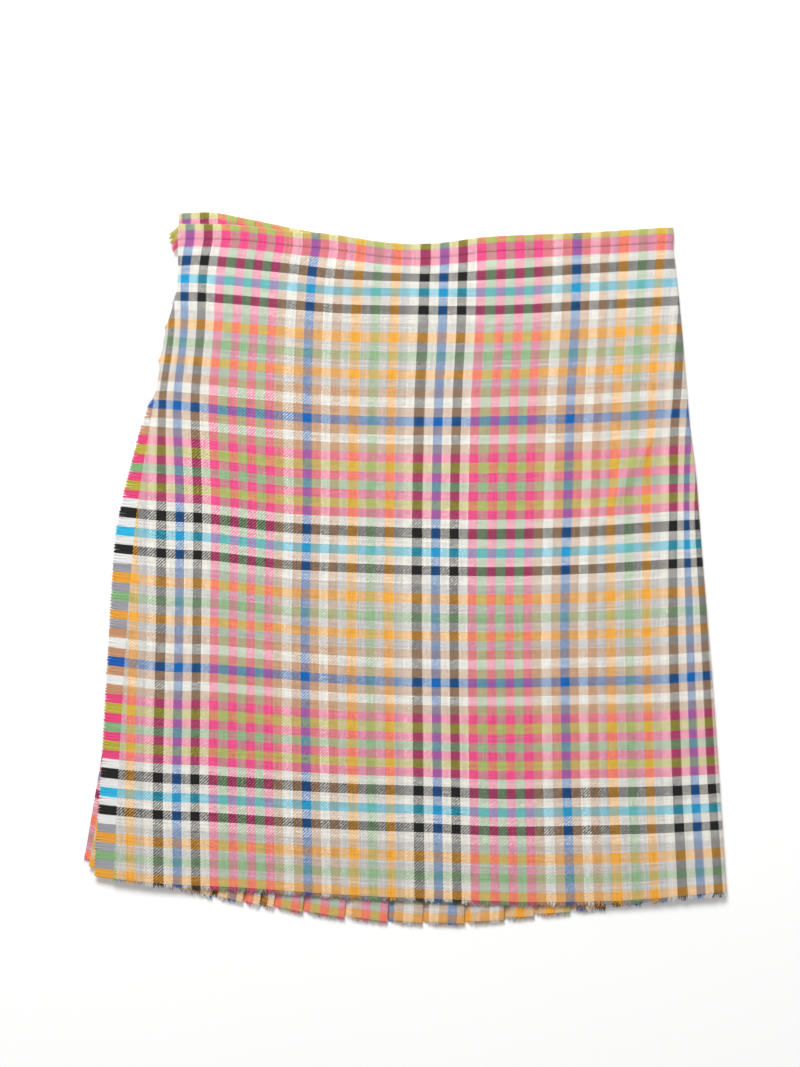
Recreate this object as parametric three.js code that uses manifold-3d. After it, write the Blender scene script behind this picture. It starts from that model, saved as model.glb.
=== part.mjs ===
// A knife-pleated wrap skirt of checked wool, laid flat on its back with the fringed apron on top.
// Millimetres: X runs across the skirt, Y towards the waist, Z up from the surface that it lies on.
// From that surface upwards lie the pleated back, the under apron and the over apron.
import * as THREE from "three";
import { mergeVertices } from "three/addons/utils/BufferGeometryUtils.js";
import Module from "manifold-3d";

// Cloth and layers
const WALL = 1.0; // thickness of one layer of cloth
const SEAM_GAP = 0.3; // between two pieces at a seam, and between layers that touch
const LAYER = WALL + SEAM_GAP; // from one layer's middle to the next
const FLOOR_LAYER = WALL / 2; // height of the middle of the lowest layer
const PLEAT_LAYERS = 3;
const UNDER_APRON_HEIGHT = FLOOR_LAYER + PLEAT_LAYERS * LAYER;
const APRONS_APART = 2.4; // from the under apron's middle to the over apron's
const OVER_APRON_HEIGHT = UNDER_APRON_HEIGHT + APRONS_APART;
const UNDER_APRON_SIDE_LIFT = 1.0; // how far it stands up beside the right-hand fold
const TURN = LAYER / 2; // radius of a pressed fold, at the cloth's middle

// Waistband
const BAND_TALL = 11.4;
const BAND_THICK = 2.0; // the strip is folded double
const BAND_EDGE_THICK = 1.0; // at its rounded top edge
const BAND_EDGE_TALL = 0.8;
const BACK_BAND_LOW = BAND_THICK / 2;
const BACK_BAND_TURN = (UNDER_APRON_HEIGHT - BACK_BAND_LOW) / 2;

// Right-hand side fold of the over apron
const SIDE_LAP = 26; // cloth that lies under the skirt past the fold
const SIDE_MIDDLE = 3.0; // height of the fold's outermost line
const SIDE_LOW_RUN = 2.5; // the fold's width below that line
const SIDE_SWELL_RUN = 55; // how far in from the fold the cloth starts to rise
const SIDE_SWELL_MOST = 3.3; // how far it rises at the hip
const UNDER_APRON_EDGE = 4; // from the fold to the under apron's free edge
const UNDER_APRON_DROOP_RUN = 14;
const UNDER_APRON_EDGE_HEIGHT = 4.4;

// Left-hand side, where the back turns into the under apron by one pleat
const APRON_PLEAT_DEEP = 20;
const APRON_PLEAT_SET_IN = 4; // from the back's fold to the under apron's fold

// Knife pleats of the back: "clear" is the cloth of one layer before a pleat, and the cloth leaves
// the surface "riseStart" before the pleat's outer fold and is at its height "riseEnd" before it.
const NARROW_PLEAT = 16; // of this width at the hem or less
const WIDE = { clear: 9.5, riseStart: 7.5, riseEnd: 1.5 };
const NARROW = { clear: 6.4, riseStart: 4.6, riseEnd: 0.9 };
const PLEAT_FAN = 1.6; // how much lower a pleat's inner fold hangs at the hem
const PLEAT_FAN_POWER = 4; // keeps that droop near the hem

// Fringe
const STRIP = 1.5; // width of the woven strip that the threads grow from
const FRINGE_SET_IN = STRIP + SEAM_GAP; // from the fringe's roots to the cloth
const LOCK_ROOT_DEEP = 0.7; // how far a lock's root reaches into its strip
const BAND_TOP_DOWN = -0.03; // where the fringe's table puts the waistband's top edge
const EDGE_LOCK = { count: 134, rootWide: 2.3, rootThick: 0.7, tipWide: 1.5, tipThick: 0.5 };
const EDGE_LOCK_UNEVEN = 0.1; // share of its length
const EDGE_LOCK_LEAN = { least: 0.35, most: 1.45, fullAt: 10 }; // towards the waist, at the tip
const HEM_LOCK = { count: 116, rootWide: 2.4, rootThick: 0.7, tipWide: 1.2, tipThick: 0.4 };
const HEM_LOCK_LONG = { least: 2.4, most: 4 };
const HEM_LOCK_LEAN = 0.6; // to either side, at the tip
const HEM_LOCK_DROOP = 0.15; // share of its length

// Outlines. "down" is 0 at the waist seam and 1 at the hem, "x" and "y" are millimetres.
const OVER_LEFT = [
  { down: 0, x: -172.9 },
  { down: 0.074, x: -173.6 },
  { down: 0.137, x: -181.2 },
  { down: 0.262, x: -191.9 },
  { down: 0.416, x: -203.6 },
  { down: 0.56, x: -210.1 },
  { down: 0.717, x: -215 },
  { down: 1, x: -222.3 },
];
const OVER_RIGHT = [
  { down: 0, x: 203.8 },
  { down: 0.158, x: 211.7 },
  { down: 0.258, x: 215.5 },
  { down: 0.351, x: 220.8 },
  { down: 0.463, x: 225.3 },
  { down: 0.674, x: 233.7 },
  { down: 1, x: 244.7 },
];
const BACK_LEFT = [
  { down: 0, x: -172.9 },
  { down: 0.1, x: -173.4 },
  { down: 0.2, x: -179.2 },
  { down: 0.35, x: -192 },
  { down: 1, x: -245.1 },
];
const OVER_SEAM = [
  { x: -173, y: 250.8 },
  { x: -147, y: 250.8 },
  { x: -122, y: 249.7 },
  { x: -85, y: 245.5 },
  { x: -57, y: 243.3 },
  { x: -19, y: 237.5 },
  { x: 5, y: 235.8 },
  { x: 30, y: 237 },
  { x: 60, y: 241 },
  { x: 95, y: 242.8 },
  { x: 140, y: 244.7 },
  { x: 204, y: 248.6 },
];
const OVER_HEM = [
  { x: -222.3, y: -234.1 },
  { x: -186.6, y: -237.9 },
  { x: -125.8, y: -240.9 },
  { x: -49.8, y: -246.2 },
  { x: 33.8, y: -250 },
  { x: 94.6, y: -251.9 },
  { x: 136.4, y: -251.6 },
  { x: 178.2, y: -250 },
  { x: 244.7, y: -244 },
];
const BACK_SEAM = [
  { x: -173, y: 259.2 },
  { x: -147, y: 259.9 },
  { x: -122, y: 255.4 },
  { x: -85, y: 247.8 },
  { x: -57, y: 242.4 },
  { x: -19, y: 234.8 },
  { x: 15, y: 233.3 },
  { x: 45, y: 236.4 },
  { x: 76, y: 239.4 },
  { x: 140, y: 242.4 },
  { x: 204, y: 247 },
];
const BACK_HEM = [
  { x: -245.1, y: -221.9 },
  { x: -222.3, y: -231 },
  { x: -171.4, y: -239.4 },
  { x: -133.4, y: -250 },
  { x: -80.2, y: -260.7 },
  { x: -47.5, y: -266 },
  { x: -14.8, y: -269 },
  { x: 43.7, y: -270.6 },
  { x: 96.9, y: -265.2 },
  { x: 151.6, y: -258.4 },
  { x: 204.8, y: -251.6 },
  { x: 244.7, y: -243.2 },
];
const UNDER_HEM = [
  { x: -241.3, y: -225.7 },
  { x: -222.3, y: -230.3 },
  { x: -186.6, y: -235 },
  { x: -125.8, y: -237.9 },
  { x: -49.8, y: -243.2 },
  { x: 33.8, y: -247 },
  { x: 94.6, y: -248.9 },
  { x: 178.2, y: -247 },
  { x: 240.7, y: -242 },
];
// How high the over apron swells beside its right-hand fold, and how wide that curve is
const SIDE_SWELL = [
  { down: 0, height: 7.4, run: 6 },
  { down: 0.12, height: 8.6, run: 9 },
  { down: 0.3, height: 10.1, run: 16 },
  { down: 0.5, height: 10.1, run: 16 },
  { down: 0.75, height: 8.8, run: 11 },
  { down: 1, height: 7.4, run: 6 },
];
// Where the pleats' inner folds meet the hem, from the left-hand side to the right
const PLEAT_FOLDS_AT_HEM = [
  -177.5, -163, -148.6, -125, -112.1, -101.5, -79.4, -47.5, -14.8, 11.8, 43.7, 74.1, 96.9, 124.3,
  151.6, 178.2, 202.5,
];
// How long the apron's fringe shows, and how far its tips hang below its roots.
// Between the waist and the hip most of it is turned under.
const FRINGE = [
  { down: -0.03, long: 6, droop: 1.2 },
  { down: 0.01, long: 7.5, droop: 1.4 },
  { down: 0.03, long: 1.4, droop: 0.6 },
  { down: 0.24, long: 1.6, droop: 0.6 },
  { down: 0.3, long: 5.5, droop: 1.8 },
  { down: 0.35, long: 9.5, droop: 2.6 },
  { down: 0.42, long: 13, droop: 3.2 },
  { down: 0.6, long: 14, droop: 3.4 },
  { down: 0.75, long: 14.2, droop: 2.4 },
  { down: 0.86, long: 14.3, droop: 1.2 },
  { down: 1, long: 14.4, droop: 1 },
];

// The rows that all the cloths are built on, closer together where the hips curve
const ROWS_DOWN = [0, 0.06, 0.13, 0.22, 0.34, 0.5, 0.72, 1];
const OVER_COLUMNS = 24;
const SIDE_FOLD_STEPS = 6;
const SIDE_LOW_STEPS = 3;
const UNDER_COLUMNS = 20;
const BAND_COLUMNS = 30;
const HEM_STRIP_COLUMNS = 25;

const lerp = THREE.MathUtils.lerp;
const clamp01 = (value) => THREE.MathUtils.clamp(value, 0, 1);
const smooth = (value) => THREE.MathUtils.smoothstep(value, 0, 1);

// A smooth function through the rows of a table, from the column "from" to the column "to".
function through(table, from, to) {
  const slope = (i, j) => (table[j][to] - table[i][to]) / (table[j][from] - table[i][from]);
  const tangents = table.map((row, i) => slope(Math.max(i - 1, 0), Math.min(i + 1, table.length - 1)));
  return (value) => {
    let i = 0;
    while (i < table.length - 2 && value > table[i + 1][from]) i += 1;
    const step = table[i + 1][from] - table[i][from];
    const share = (value - table[i][from]) / step;
    if (share < 0) return table[i][to] + tangents[i] * share * step;
    if (share > 1) return table[i + 1][to] + tangents[i + 1] * (share - 1) * step;
    const rest = 1 - share;
    return (
      (1 + 2 * share) * rest * rest * table[i][to] +
      share * rest * rest * step * tangents[i] +
      share * share * (3 - 2 * share) * table[i + 1][to] -
      share * share * rest * step * tangents[i + 1]
    );
  };
}

const overLeft = through(OVER_LEFT, "down", "x");
const overRight = through(OVER_RIGHT, "down", "x");
const backLeft = through(BACK_LEFT, "down", "x");
const overSeam = through(OVER_SEAM, "x", "y");
const overHem = through(OVER_HEM, "x", "y");
const backSeam = through(BACK_SEAM, "x", "y");
const backHem = through(BACK_HEM, "x", "y");
const underHem = through(UNDER_HEM, "x", "y");
const swellHeight = through(SIDE_SWELL, "down", "height");
const swellRun = through(SIDE_SWELL, "down", "run");
const fringeLong = through(FRINGE, "down", "long");
const fringeDroop = through(FRINGE, "down", "droop");

// The y of a point that lies a given share of the way across, between a seam and a hem.
function downBetween(seam, hem, left, right, across, down) {
  const seamY = seam(lerp(left(0), right(0), across));
  const hemY = hem(lerp(left(1), right(1), across));
  return lerp(seamY, hemY, down);
}

const overY = (across, down) =>
  downBetween(overSeam, overHem, overLeft, overRight, clamp01(across), down);
const backY = (hem) => (across, down) =>
  downBetween(backSeam, hem, backLeft, overRight, clamp01(across), down);
const backAcross = (x, down) => (x - backLeft(down)) / (overRight(down) - backLeft(down));

// The upward side of the stretch that starts at a point of a row.
function normalOf(row, start) {
  const [from, to] = [row[start], row[start + 1]];
  return new THREE.Vector2(from.z - to.z, to.x - from.x).normalize();
}

// A closed wall of cloth. Each row is a line of points across the skirt, at the cloth's middle;
// thick gives each row's own thickness.
function wall(rows, thick) {
  const across = rows[0].length;
  const positions = [];
  const point = (row, column, side) => (row * across + column) * 2 + side;
  rows.forEach((row, r) => {
    row.forEach((middle, c) => {
      const before = normalOf(row, Math.max(c - 1, 0));
      const after = normalOf(row, Math.min(c, across - 2));
      const out = before.clone().add(after).divideScalar(1 + before.dot(after));
      for (const side of [thick[r] / 2, -thick[r] / 2]) {
        positions.push(middle.x + out.x * side, middle.y, middle.z + out.y * side);
      }
    });
  });
  const faces = [];
  const quad = (a, b, c, d) => faces.push(a, b, c, a, c, d);
  for (let r = 0; r < rows.length - 1; r += 1) {
    for (let c = 0; c < across - 1; c += 1) {
      quad(point(r, c, 0), point(r + 1, c, 0), point(r + 1, c + 1, 0), point(r, c + 1, 0));
      quad(point(r, c, 1), point(r, c + 1, 1), point(r + 1, c + 1, 1), point(r + 1, c, 1));
    }
    const last = across - 1;
    quad(point(r, 0, 0), point(r, 0, 1), point(r + 1, 0, 1), point(r + 1, 0, 0));
    quad(point(r, last, 0), point(r + 1, last, 0), point(r + 1, last, 1), point(r, last, 1));
  }
  const bottom = rows.length - 1;
  for (let c = 0; c < across - 1; c += 1) {
    quad(point(0, c, 0), point(0, c + 1, 0), point(0, c + 1, 1), point(0, c, 1));
    quad(point(bottom, c, 0), point(bottom, c, 1), point(bottom, c + 1, 1), point(bottom, c + 1, 0));
  }
  const geometry = new THREE.BufferGeometry();
  geometry.setAttribute("position", new THREE.Float32BufferAttribute(positions, 3));
  geometry.setIndex(faces);
  return geometry;
}

const range = (count) => Array.from({ length: count }, (_, i) => i);
const alike = (rows, thick) => rows.map(() => thick);

// Height of the over apron's cloth over its flat part: it swells towards the right-hand fold.
function overHeight(x, down) {
  const foldStarts = overRight(down) - swellRun(down);
  const share = (x - foldStarts + SIDE_SWELL_RUN) / SIDE_SWELL_RUN;
  return lerp(OVER_APRON_HEIGHT, swellHeight(down), smooth(share));
}

// One line across the over apron: its flat part, the rounded side fold and the lap under the skirt.
function overLine(down, thick, inset) {
  const left = overLeft(down) + FRINGE_SET_IN;
  const edge = overRight(down) - thick / 2;
  const low = thick / 2;
  const run = swellRun(down);
  const foldStarts = edge - run;
  const across = (x) => (x - overLeft(down)) / (overRight(down) - overLeft(down));
  const yAt = (x) => overY(across(x), down) + inset;
  const line = range(OVER_COLUMNS).map((i) => {
    const x = lerp(left, foldStarts, i / (OVER_COLUMNS - 1));
    return { x, y: yAt(x), z: overHeight(x, down) };
  });
  const top = line[line.length - 1].z;
  const quarterTurn = (wide, tall, steps, from) =>
    range(steps).map((i) => {
      const angle = from + ((i + 1) / steps) * (Math.PI / 2);
      const x = edge - wide + wide * Math.sin(angle);
      return { x, y: yAt(x), z: SIDE_MIDDLE + tall * Math.cos(angle) };
    });
  line.push(...quarterTurn(run, top - SIDE_MIDDLE, SIDE_FOLD_STEPS, 0));
  line.push(...quarterTurn(SIDE_LOW_RUN, SIDE_MIDDLE - low, SIDE_LOW_STEPS, Math.PI / 2));
  const lapEnd = overRight(down) - SIDE_LAP;
  line.push({ x: lapEnd, y: backY(backHem)(backAcross(lapEnd, down), down) + inset, z: low });
  return line;
}

function overApron() {
  const rows = ROWS_DOWN.map((down) => {
    const inset = down === 0 ? -SEAM_GAP / 2 : down === 1 ? FRINGE_SET_IN : 0;
    return overLine(down, WALL, inset);
  });
  return wall(rows, alike(rows, WALL));
}

// The rows of a waistband, from its folded top edge down to its seam.
const BAND_ROWS = [
  { rise: BAND_TALL, thick: BAND_EDGE_THICK },
  { rise: BAND_TALL - BAND_EDGE_TALL, thick: BAND_THICK },
  { rise: SEAM_GAP / 2, thick: BAND_THICK },
];

function frontBand() {
  const rows = BAND_ROWS.map(({ rise }) => overLine(0, BAND_THICK, rise));
  return wall(rows, BAND_ROWS.map(({ thick }) => thick));
}

// Height of the under apron: it lifts beside the right-hand fold and droops to its free edge.
function underHeight(x, down) {
  const edge = overRight(down) - UNDER_APRON_EDGE;
  const swell = clamp01((swellHeight(down) - OVER_APRON_HEIGHT) / SIDE_SWELL_MOST);
  const rise = smooth((x - edge + SIDE_SWELL_RUN) / (SIDE_SWELL_RUN - UNDER_APRON_DROOP_RUN));
  const droop = smooth((x - edge + UNDER_APRON_DROOP_RUN) / UNDER_APRON_DROOP_RUN);
  const lifted = UNDER_APRON_HEIGHT + UNDER_APRON_SIDE_LIFT * swell * rise;
  return lerp(lifted, UNDER_APRON_EDGE_HEIGHT, droop);
}

// A half turn of pressed cloth about (x, z), from above to below or the other way round.
function halfTurn(x, z, radius, side, upwards) {
  return [0.25, 0.5, 0.75].map((share) => {
    const angle = share * Math.PI;
    const rise = radius * Math.cos(angle) * (upwards ? -1 : 1);
    return { x: x + side * radius * Math.sin(angle), z: z + rise };
  });
}

// One line across the under apron, from the end of its side pleat to its free edge.
function underLine(down) {
  const y = backY(underHem);
  const fold = backLeft(down) + APRON_PLEAT_SET_IN + WALL / 2 + TURN;
  const pleatLayer = UNDER_APRON_HEIGHT - LAYER;
  const line = [
    { x: fold + APRON_PLEAT_DEEP, z: pleatLayer },
    { x: fold, z: pleatLayer },
    ...halfTurn(fold, pleatLayer + TURN, TURN, -1, true),
  ];
  const edge = overRight(down) - UNDER_APRON_EDGE;
  range(UNDER_COLUMNS).forEach((i) => {
    const x = lerp(fold, edge, i / (UNDER_COLUMNS - 1));
    line.push({ x, z: underHeight(x, down) });
  });
  const inset = down === 0 ? -SEAM_GAP / 2 : 0;
  return line.map(({ x, z }) => ({ x, z, y: y(backAcross(x, down), down) + inset }));
}

function underApron() {
  const rows = ROWS_DOWN.map(underLine);
  return wall(rows, alike(rows, WALL));
}

// One line across the pleated back, from the under apron's pleat round the left-hand fold to the
// seam with the over apron's lap.
function backLine(down) {
  const y = backY(backHem);
  const left = backLeft(down);
  const width = overRight(down) - left;
  const fold = left + WALL / 2 + TURN;
  const [low, middle, high] = range(PLEAT_LAYERS).map((layer) => FLOOR_LAYER + layer * LAYER);
  const line = [
    { x: fold + APRON_PLEAT_DEEP, z: middle },
    { x: fold, z: middle },
    ...halfTurn(fold, low + TURN, TURN, -1, false),
    { x: fold, z: low },
  ];
  const hemLeft = backLeft(1);
  const hemWidth = overRight(1) - hemLeft;
  let previous = left + APRON_PLEAT_DEEP;
  PLEAT_FOLDS_AT_HEM.forEach((atHem, i) => {
    const before = i === 0 ? hemLeft + APRON_PLEAT_DEEP : PLEAT_FOLDS_AT_HEM[i - 1];
    const { clear, riseStart, riseEnd } = atHem - before <= NARROW_PLEAT ? NARROW : WIDE;
    const inner = left + (width * (atHem - hemLeft)) / hemWidth;
    const outer = previous + clear;
    const innerTurn = [
      { x: inner, z: high },
      ...halfTurn(inner, middle + TURN, TURN, 1, false),
      { x: inner, z: middle },
    ];
    line.push(
      { x: outer - riseStart, z: low },
      { x: outer - riseEnd, z: high },
      ...innerTurn.map((point) => ({ ...point, droop: PLEAT_FAN * down ** PLEAT_FAN_POWER })),
      { x: outer, z: middle },
      ...halfTurn(outer, low + TURN, TURN, -1, false),
      { x: outer, z: low },
    );
    previous = inner;
  });
  line.push({ x: overRight(down) - SIDE_LAP - SEAM_GAP, z: low });
  const inset = down === 0 ? -SEAM_GAP / 2 : 0;
  return line.map(({ x, z, droop = 0 }) => {
    return { x, z, y: y(backAcross(x, down), down) + inset - droop };
  });
}

function pleatedBack() {
  const rows = ROWS_DOWN.map(backLine);
  return wall(rows, alike(rows, WALL));
}

// The band of the back runs along the surface, round the left-hand side and on as the under apron's.
function backBand() {
  const fold = backLeft(0) + BAND_THICK / 2 + BACK_BAND_TURN;
  const backEnd = overRight(0) - SIDE_LAP - SEAM_GAP;
  const underEnd = overRight(0) - UNDER_APRON_EDGE;
  const line = range(BAND_COLUMNS).map((i) => ({
    x: lerp(backEnd, fold, i / (BAND_COLUMNS - 1)),
    z: BACK_BAND_LOW,
  }));
  line.push(...halfTurn(fold, BACK_BAND_LOW + BACK_BAND_TURN, BACK_BAND_TURN, -1, true));
  range(BAND_COLUMNS).forEach((i) => {
    line.push({ x: lerp(fold, underEnd, i / (BAND_COLUMNS - 1)), z: UNDER_APRON_HEIGHT });
  });
  const y = backY(backHem);
  const rows = BAND_ROWS.map(({ rise }) =>
    line.map(({ x, z }) => ({ x, z, y: y(backAcross(x, 0), 0) + rise })),
  );
  return wall(rows, BAND_ROWS.map(({ thick }) => thick));
}

// A lock of threads: four-sided, from its root inside the strip to its tip. It lies along "y" or
// "x", so its width is taken the other way.
function lock(root, tip, acrossAxis, size) {
  const geometry = new THREE.BoxGeometry(1, 1, 1);
  const corners = geometry.attributes.position;
  for (let i = 0; i < corners.count; i += 1) {
    const atTip = corners.getZ(i) > 0;
    const centre = atTip ? tip : root;
    const wide = corners.getX(i) * (atTip ? size.tipWide : size.rootWide);
    const thick = corners.getY(i) * (atTip ? size.tipThick : size.rootThick);
    const x = centre.x + (acrossAxis === "x" ? wide : 0);
    const y = centre.y + (acrossAxis === "y" ? wide : 0);
    corners.setXYZ(i, x, y, centre.z + thick);
  }
  geometry.deleteAttribute("normal");
  geometry.deleteAttribute("uv");
  return geometry;
}

const wasm = await Module();
wasm.setup();

const MERGE_WITHIN = 1e-4;

// A geometry as a solid that can be joined to others, with its faces turned outwards.
function solid(geometry) {
  const merged = mergeVertices(geometry, MERGE_WITHIN);
  const vertProperties = merged.attributes.position.array;
  const triVerts = new Uint32Array(merged.index.array);
  const made = new wasm.Manifold(new wasm.Mesh({ numProp: 3, vertProperties, triVerts }));
  if (made.volume() > 0) return made;
  return new wasm.Manifold(new wasm.Mesh({ numProp: 3, vertProperties, triVerts: triVerts.reverse() }));
}

function geometryOf(made) {
  const { vertProperties, triVerts } = made.getMesh();
  const geometry = new THREE.BufferGeometry();
  geometry.setAttribute("position", new THREE.BufferAttribute(vertProperties, 3));
  geometry.setIndex(new THREE.BufferAttribute(triVerts, 1));
  return geometry;
}

// A repeatable number for the nth lock, between two values: the golden share steps through them
// unevenly, with another start for each use.
const GOLDEN_SHARE = 0.6180339887;
const uneven = (n, least, most, start = 0) => lerp(least, most, (n * GOLDEN_SHARE + start) % 1);

// The point at a share of the height of an edge given as points from the waist to the hem.
function pointAlong(edge, share) {
  const y = lerp(edge[0].y, edge[edge.length - 1].y, share);
  const i = edge.findIndex((point) => point.y < y) - 1;
  const part = (edge[i].y - y) / (edge[i].y - edge[i + 1].y);
  return { x: lerp(edge[i].x, edge[i + 1].x, part), y, down: lerp(edge[i].down, edge[i + 1].down, part) };
}

// The strip along the apron's left-hand edge, and the weft threads that hang free from it.
function edgeFringe() {
  const edge = ROWS_DOWN.map((down) => ({ x: overLeft(down), y: overY(0, down), down }));
  edge.unshift({ x: overLeft(0), y: overY(0, 0) + BAND_TALL, down: BAND_TOP_DOWN });
  const rows = edge.map(({ x, y }) => [
    { x, y, z: OVER_APRON_HEIGHT },
    { x: x + STRIP, y, z: OVER_APRON_HEIGHT },
  ]);
  let fringe = solid(wall(rows, alike(rows, WALL)));
  range(EDGE_LOCK.count).forEach((n) => {
    const at = pointAlong(edge, (n + 0.5) / EDGE_LOCK.count);
    const long = fringeLong(at.down) * uneven(n, 1 - EDGE_LOCK_UNEVEN, 1 + EDGE_LOCK_UNEVEN);
    const fullLean = uneven(n, EDGE_LOCK_LEAN.least, EDGE_LOCK_LEAN.most, 0.5);
    const lean = fullLean * clamp01(long / EDGE_LOCK_LEAN.fullAt);
    const root = { x: at.x + LOCK_ROOT_DEEP, y: at.y, z: OVER_APRON_HEIGHT };
    const tip = { x: at.x - long, y: at.y + lean, z: OVER_APRON_HEIGHT - fringeDroop(at.down) };
    fringe = fringe.add(solid(lock(root, tip, "y", EDGE_LOCK)));
  });
  return geometryOf(fringe);
}

// The strip along the over apron's hem, and the short warp threads frayed from it.
function hemFringe() {
  const left = overLeft(1) + FRINGE_SET_IN;
  const right = overRight(1) - swellRun(1) - WALL / 2;
  const place = (share) => {
    const x = lerp(left, right, share);
    return { x, y: overHem(x), z: overHeight(x, 1) };
  };
  const rows = [STRIP, 0].map((rise) =>
    range(HEM_STRIP_COLUMNS).map((i) => {
      const at = place(i / (HEM_STRIP_COLUMNS - 1));
      return { ...at, y: at.y + rise };
    }),
  );
  let fringe = solid(wall(rows, alike(rows, WALL)));
  range(HEM_LOCK.count).forEach((n) => {
    const at = place((n + 0.5) / HEM_LOCK.count);
    const long = uneven(n, HEM_LOCK_LONG.least, HEM_LOCK_LONG.most);
    const lean = uneven(n, -HEM_LOCK_LEAN, HEM_LOCK_LEAN, 0.5);
    const root = { ...at, y: at.y + LOCK_ROOT_DEEP };
    const tip = { x: at.x + lean, y: at.y - long, z: at.z - HEM_LOCK_DROOP * long };
    fringe = fringe.add(solid(lock(root, tip, "x", HEM_LOCK)));
  });
  return geometryOf(fringe);
}

const CREAM_CHECK = { color: 0xe9ded0, roughness: 0.86, metalness: 0 };
const FRINGE_YARN = { color: 0xe6a08c, roughness: 0.9, metalness: 0 };

const skirt = new THREE.Group();
skirt.name = "wrap_skirt";

function piece(name, geometry, look) {
  const mesh = new THREE.Mesh(geometry, new THREE.MeshStandardMaterial(look));
  mesh.name = name;
  skirt.add(mesh);
}

piece("over_apron", overApron(), CREAM_CHECK);
piece("under_apron", underApron(), CREAM_CHECK);
piece("pleated_back", pleatedBack(), CREAM_CHECK);
piece("waistband_front", frontBand(), CREAM_CHECK);
piece("waistband_back", backBand(), CREAM_CHECK);
piece("fringe_apron_edge", edgeFringe(), FRINGE_YARN);
piece("fringe_front_hem", hemFringe(), FRINGE_YARN);

// The origin is the middle of the skirt's box, on the surface that it lies on.
const box = new THREE.Box3().setFromObject(skirt, true);
const middle = box.getCenter(new THREE.Vector3());
skirt.position.set(-middle.x, -middle.y, -box.min.z);

export default skirt;
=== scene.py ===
"""Looks of a knife-pleated wrap skirt of checked wool, laid flat with its front up.

The sizes are in millimetres, as in the CAD: X runs across the skirt, Y towards the waist and Z up
from the surface that it lies on. Each cloth is a thin closed shell along its solid's own line. Its
UV layer holds where each point is in the check, so the check bends with the cloth.
"""

import math

import bpy
import numpy as np
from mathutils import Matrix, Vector


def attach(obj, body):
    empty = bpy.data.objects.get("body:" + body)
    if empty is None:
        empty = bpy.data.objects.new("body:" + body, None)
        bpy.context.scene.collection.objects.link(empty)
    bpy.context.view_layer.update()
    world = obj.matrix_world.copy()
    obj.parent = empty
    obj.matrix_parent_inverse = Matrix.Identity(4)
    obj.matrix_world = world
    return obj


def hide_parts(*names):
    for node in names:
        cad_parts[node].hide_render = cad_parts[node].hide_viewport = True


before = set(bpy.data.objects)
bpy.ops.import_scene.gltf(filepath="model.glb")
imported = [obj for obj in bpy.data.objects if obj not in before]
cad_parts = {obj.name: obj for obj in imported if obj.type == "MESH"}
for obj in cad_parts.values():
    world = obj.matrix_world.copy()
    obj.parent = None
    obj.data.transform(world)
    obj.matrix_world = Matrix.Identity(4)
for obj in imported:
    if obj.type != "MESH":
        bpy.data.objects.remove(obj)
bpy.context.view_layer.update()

MM = 0.001
ORIGIN_X = 0.2147  # from the origin of these sizes to the middle of the skirt's box
ORIGIN_Y = 0.4009
SEED = 7

# Cloth and layers, as in the CAD
WALL = 1.0
SHELL = 0.85  # thickness of the cloth here, just inside its solid
SEAM_GAP = 0.3
LAYER = WALL + SEAM_GAP
FLOOR_LAYER = WALL / 2
PLEAT_LAYERS = 3
UNDER_APRON_HEIGHT = FLOOR_LAYER + PLEAT_LAYERS * LAYER
OVER_APRON_HEIGHT = UNDER_APRON_HEIGHT + 2.4
UNDER_APRON_SIDE_LIFT = 1.0
TURN = LAYER / 2
BAND_TALL = 11.4
BACK_BAND_LOW = 1.0
BACK_BAND_TURN = (UNDER_APRON_HEIGHT - BACK_BAND_LOW) / 2
SIDE_LAP = 26
SIDE_MIDDLE = 3.0
SIDE_LOW_RUN = 2.5
SIDE_SWELL_RUN = 55
SIDE_SWELL_MOST = 3.3
UNDER_APRON_EDGE = 4
UNDER_APRON_DROOP_RUN = 14
UNDER_APRON_EDGE_HEIGHT = 4.4
APRON_PLEAT_DEEP = 20
APRON_PLEAT_SET_IN = 4
NARROW_PLEAT = 16
WIDE = {"clear": 9.5, "rise_start": 7.5, "rise_end": 1.5}
NARROW = {"clear": 6.4, "rise_start": 4.6, "rise_end": 0.9}
PLEAT_FAN = 1.6
PLEAT_FAN_POWER = 4

# Outlines: "down" is 0 at the waist seam and 1 at the hem
OVER_LEFT = {
    "down": [0, 0.074, 0.137, 0.262, 0.416, 0.56, 0.717, 1],
    "x": [-172.9, -173.6, -181.2, -191.9, -203.6, -210.1, -215, -222.3],
}
OVER_RIGHT = {
    "down": [0, 0.158, 0.258, 0.351, 0.463, 0.674, 1],
    "x": [203.8, 211.7, 215.5, 220.8, 225.3, 233.7, 244.7],
}
BACK_LEFT = {
    "down": [0, 0.1, 0.2, 0.35, 1],
    "x": [-172.9, -173.4, -179.2, -192, -245.1],
}
OVER_SEAM = {
    "x": [-173, -147, -122, -85, -57, -19, 5, 30, 60, 95, 140, 204],
    "y": [250.8, 250.8, 249.7, 245.5, 243.3, 237.5, 235.8, 237, 241, 242.8, 244.7, 248.6],
}
OVER_HEM = {
    "x": [-222.3, -186.6, -125.8, -49.8, 33.8, 94.6, 136.4, 178.2, 244.7],
    "y": [-234.1, -237.9, -240.9, -246.2, -250, -251.9, -251.6, -250, -244],
}
BACK_SEAM = {
    "x": [-173, -147, -122, -85, -57, -19, 15, 45, 76, 140, 204],
    "y": [259.2, 259.9, 255.4, 247.8, 242.4, 234.8, 233.3, 236.4, 239.4, 242.4, 247],
}
BACK_HEM = {
    "x": [-245.1, -222.3, -171.4, -133.4, -80.2, -47.5, -14.8, 43.7, 96.9, 151.6, 204.8, 244.7],
    "y": [-221.9, -231, -244.2, -252.6, -261.7, -266, -269, -270.6, -265.2, -258.4, -251.6, -243.2],
}
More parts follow.
